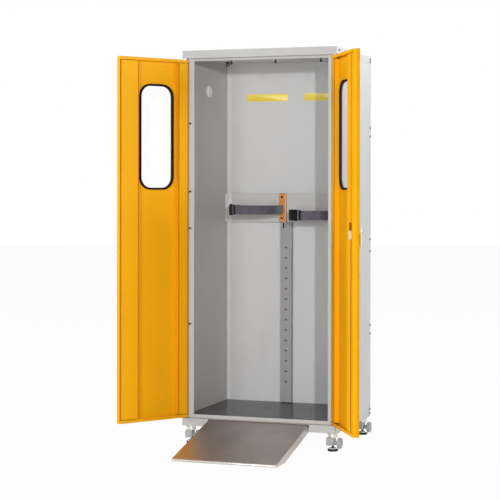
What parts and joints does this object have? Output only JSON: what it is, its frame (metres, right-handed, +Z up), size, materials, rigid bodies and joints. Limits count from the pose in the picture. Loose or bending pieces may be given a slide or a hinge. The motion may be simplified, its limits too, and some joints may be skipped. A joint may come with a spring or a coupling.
{
  "type": "gas cylinder cabinet",
  "caption": "Tall sheet-steel cabinet for gas cylinders with two glazed hinged doors, a slide-out loading ramp, a strap rail and levelling castors.",
  "frame": {"origin": "on the floor, below the middle of the whole object as it stands with both doors open and the ramp down", "axes": "+Z up, +X to the right of someone facing the doors, +Y towards the back"},
  "size_m": [1.1254, 1.008, 1.8],
  "materials": {
    "panel_grey": "light grey powder coat, satin",
    "inner_grey": "mid grey powder coat, satin",
    "door_yellow": "warm yellow powder coat, semi-gloss",
    "gasket_black": "matt black rubber profile",
    "clear_glass": "clear",
    "stainless": "brushed stainless sheet",
    "zinc": "bright zinc plate",
    "bracket_brown": "orange-brown paint, satin",
    "webbing_grey": "woven webbing",
    "plastic_black": "moulded black plastic",
    "castor_grey": "light grey moulded nylon",
    "rubber_black": "matt black rubber"
  },
  "bodies": {
    "cabinet": {"side_panel_left": "panel_grey", "side_panel_right": "panel_grey", "roof_panel": "panel_grey", "back_panel": "panel_grey", "ceiling_panel": "inner_grey", "floor_plate": "inner_grey", "sill_rail": "panel_grey", "skirt_left": "panel_grey", "skirt_right": "panel_grey", "base_rail_left": "inner_grey", "base_rail_right": "inner_grey", "runner_left": "zinc", "runner_right": "zinc", "cylinder_rail": "panel_grey", "strap_left": "webbing_grey", "strap_right": "webbing_grey", "buckle_left": "plastic_black", "buckle_right": "plastic_black", "strap_end_right": "plastic_black", "strap_bracket": "bracket_brown", "upright": "inner_grey", "pipe_plug": "castor_grey", "hinge_pin_upper_left": "zinc", "hinge_pin_lower_left": "zinc", "hinge_pin_upper_right": "zinc", "hinge_pin_lower_right": "zinc", "castor_plate_front_left": "zinc", "castor_plate_front_right": "zinc", "castor_plate_rear_left": "zinc", "castor_plate_rear_right": "zinc"},
    "door_left": {"door_pan_left": "door_yellow", "door_free_channel_left": "door_yellow", "door_hinge_channel_left": "door_yellow", "window_gasket_left": "gasket_black", "window_glass_left": "clear_glass"},
    "door_right": {"door_pan_right": "door_yellow", "door_free_channel_right": "door_yellow", "door_hinge_channel_right": "door_yellow", "window_gasket_right": "gasket_black", "window_glass_right": "clear_glass", "lock_case": "plastic_black"},
    "lock_handle": {"handle": "plastic_black", "lock_cam": "bracket_brown"},
    "lock_bolt_upper": {"bolt_upper": "zinc"},
    "lock_bolt_lower": {"bolt_lower": "zinc"},
    "carriage": {"ramp_carriage": "zinc"},
    "ramp_deck": {"ramp": "stainless"},
    "swivel_front_left": {"castor_body_front_left": "castor_grey"},
    "wheel_front_left": {"castor_wheel_front_left": "castor_grey"},
    "foot_front_left": {"castor_foot_front_left": "rubber_black"},
    "swivel_front_right": {"castor_body_front_right": "castor_grey"},
    "wheel_front_right": {"castor_wheel_front_right": "castor_grey"},
    "foot_front_right": {"castor_foot_front_right": "rubber_black"},
    "swivel_rear_left": {"castor_body_rear_left": "castor_grey"},
    "wheel_rear_left": {"castor_wheel_rear_left": "castor_grey"},
    "foot_rear_left": {"castor_foot_rear_left": "rubber_black"},
    "swivel_rear_right": {"castor_body_rear_right": "castor_grey"},
    "wheel_rear_right": {"castor_wheel_rear_right": "castor_grey"},
    "foot_rear_right": {"castor_foot_rear_right": "rubber_black"}
  },
  "joints": [
    {"name": "door_left_hinge", "type": "hinge", "parent": "cabinet", "child": "door_left", "pos_m": [-0.3565, -0.05999, 0.94], "axis": [0, 0, -1], "range_deg": [-125, 0]},
    {"name": "door_right_hinge", "type": "hinge", "parent": "cabinet", "child": "door_right", "pos_m": [0.3565, -0.05999, 0.94], "axis": [0, 0, 1], "range_deg": [-121.4, 0]},
    {"name": "handle_turn", "type": "hinge", "parent": "door_right", "child": "lock_handle", "pos_m": [0.52062, -0.32886, 0.986], "axis": [-0.8536, -0.521, 0], "range_deg": [0, 90]},
    {"name": "bolt_upper_slide", "type": "slide", "parent": "door_right", "child": "lock_bolt_upper", "axis": [0, 0, 1], "range_m": [0, 0.0241]},
    {"name": "bolt_lower_slide", "type": "slide", "parent": "door_right", "child": "lock_bolt_lower", "axis": [0, 0, -1], "range_m": [0, 0.0241]},
    {"name": "ramp_slide", "type": "slide", "parent": "cabinet", "child": "carriage", "axis": [0, 1, 0], "range_m": [0, 0.4546]},
    {"name": "ramp_tilt", "type": "hinge", "parent": "carriage", "child": "ramp_deck", "pos_m": [0, -0.06099, 0.105], "axis": [-1, 0, 0], "range_deg": [0, 13.5]},
    {"name": "swivel_front_left_turn", "type": "hinge", "parent": "cabinet", "child": "swivel_front_left", "pos_m": [-0.339, -0.02499, 0.066], "axis": [0, 0, 1], "continuous": true},
    {"name": "wheel_front_left_spin", "type": "hinge", "parent": "swivel_front_left", "child": "wheel_front_left", "pos_m": [-0.3145, -0.02499, 0.036], "axis": [1, 0, 0], "continuous": true},
    {"name": "foot_front_left_slide", "type": "slide", "parent": "swivel_front_left", "child": "foot_front_left", "axis": [0, 0, 1], "range_m": [0, 0.0115]},
    {"name": "swivel_front_right_turn", "type": "hinge", "parent": "cabinet", "child": "swivel_front_right", "pos_m": [0.339, -0.02499, 0.066], "axis": [0, 0, 1], "continuous": true},
    {"name": "wheel_front_right_spin", "type": "hinge", "parent": "swivel_front_right", "child": "wheel_front_right", "pos_m": [0.3635, -0.02499, 0.036], "axis": [1, 0, 0], "continuous": true},
    {"name": "foot_front_right_slide", "type": "slide", "parent": "swivel_front_right", "child": "foot_front_right", "axis": [0, 0, 1], "range_m": [0, 0.0115]},
    {"name": "swivel_rear_left_turn", "type": "hinge", "parent": "cabinet", "child": "swivel_rear_left", "pos_m": [-0.339, 0.46601, 0.066], "axis": [0, 0, 1], "continuous": true},
    {"name": "wheel_rear_left_spin", "type": "hinge", "parent": "swivel_rear_left", "child": "wheel_rear_left", "pos_m": [-0.3145, 0.46601, 0.036], "axis": [1, 0, 0], "continuous": true},
    {"name": "foot_rear_left_slide", "type": "slide", "parent": "swivel_rear_left", "child": "foot_rear_left", "axis": [0, 0, 1], "range_m": [0, 0.0115]},
    {"name": "swivel_rear_right_turn", "type": "hinge", "parent": "cabinet", "child": "swivel_rear_right", "pos_m": [0.339, 0.46601, 0.066], "axis": [0, 0, 1], "continuous": true},
    {"name": "wheel_rear_right_spin", "type": "hinge", "parent": "swivel_rear_right", "child": "wheel_rear_right", "pos_m": [0.3635, 0.46601, 0.036], "axis": [1, 0, 0], "continuous": true},
    {"name": "foot_rear_right_slide", "type": "slide", "parent": "swivel_rear_right", "child": "foot_rear_right", "axis": [0, 0, 1], "range_m": [0, 0.0115]}
  ],
  "couplings": [
    {"joint": "bolt_upper_slide", "follows": "handle_turn", "m_per_rad": 0.015305},
    {"joint": "bolt_lower_slide", "follows": "handle_turn", "m_per_rad": 0.015305}
  ]
}
